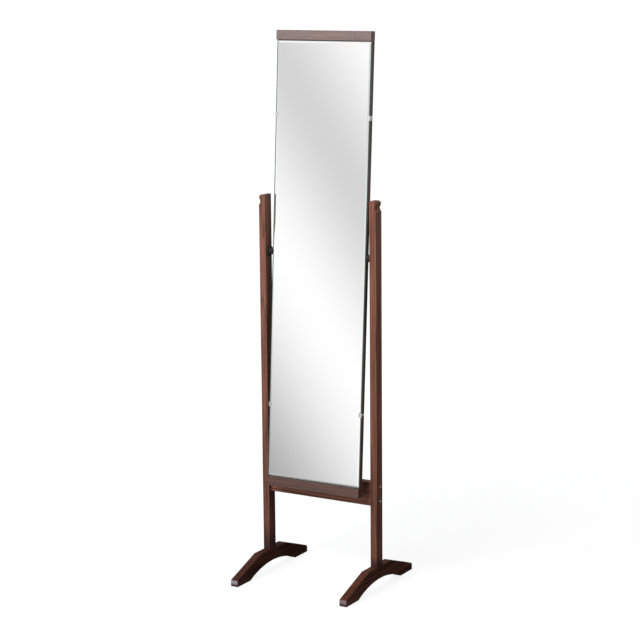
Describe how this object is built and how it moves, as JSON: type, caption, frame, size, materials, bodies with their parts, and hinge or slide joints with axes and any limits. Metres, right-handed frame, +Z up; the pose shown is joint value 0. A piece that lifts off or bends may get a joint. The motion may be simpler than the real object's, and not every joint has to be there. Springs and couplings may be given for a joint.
{
  "type": "cheval mirror",
  "caption": "Narrow free-standing cheval mirror: slender wooden posts on arched feet, a low crossbar, and a long bevelled mirror that tilts between the posts.",
  "frame": {"origin": "on the floor, midway between the feet and midway between their ends", "axes": "+X to the mirror's right as seen from in front of it, +Y to the back, +Z up; the panel is stored leaning back by 3.85 degrees"},
  "size_m": [0.364, 0.372, 1.5],
  "materials": {
    "stained_wood": "dark reddish-brown stain under a satin lacquer",
    "plain_wood": "bare hardwood",
    "back_board": "smooth brown hardboard",
    "mirror": "silvered glass with a polished bevel",
    "bright_metal": "bright plated",
    "steel": "zinc plated",
    "brass": "turned",
    "black_plastic": "moulded, satin"
  },
  "bodies": {
    "stand": {"left_post": "stained_wood", "right_post": "stained_wood", "left_foot": "stained_wood", "right_foot": "stained_wood", "crossbar": "stained_wood", "crossbar_screws": "steel", "crossbar_dowels": "plain_wood", "foot_bolts": "steel", "foot_washers": "steel", "post_inserts": "brass", "foot_dowels": "plain_wood", "left_pivot_bush": "black_plastic", "right_pivot_bush": "black_plastic"},
    "mirror_panel": {"mirror_glass": "mirror", "top_rail": "stained_wood", "bottom_rail": "stained_wood", "left_stile": "stained_wood", "right_stile": "stained_wood", "middle_rail": "plain_wood", "frame_dowels": "plain_wood", "back_panel": "back_board", "back_panel_screws": "steel", "upper_left_clip": "bright_metal", "upper_right_clip": "bright_metal", "lower_left_clip": "bright_metal", "lower_right_clip": "bright_metal", "clip_screws": "bright_metal", "left_pivot_pin": "steel", "right_pivot_pin": "steel", "left_pivot_collar": "black_plastic", "right_pivot_collar": "black_plastic"}
  },
  "joints": [
    {"name": "mirror_tilt", "type": "hinge", "parent": "stand", "child": "mirror_panel", "pos_m": [0, 0.002, 0.905], "axis": [-1, 0, 0], "range_deg": [-2.4, 353.5]}
  ]
}
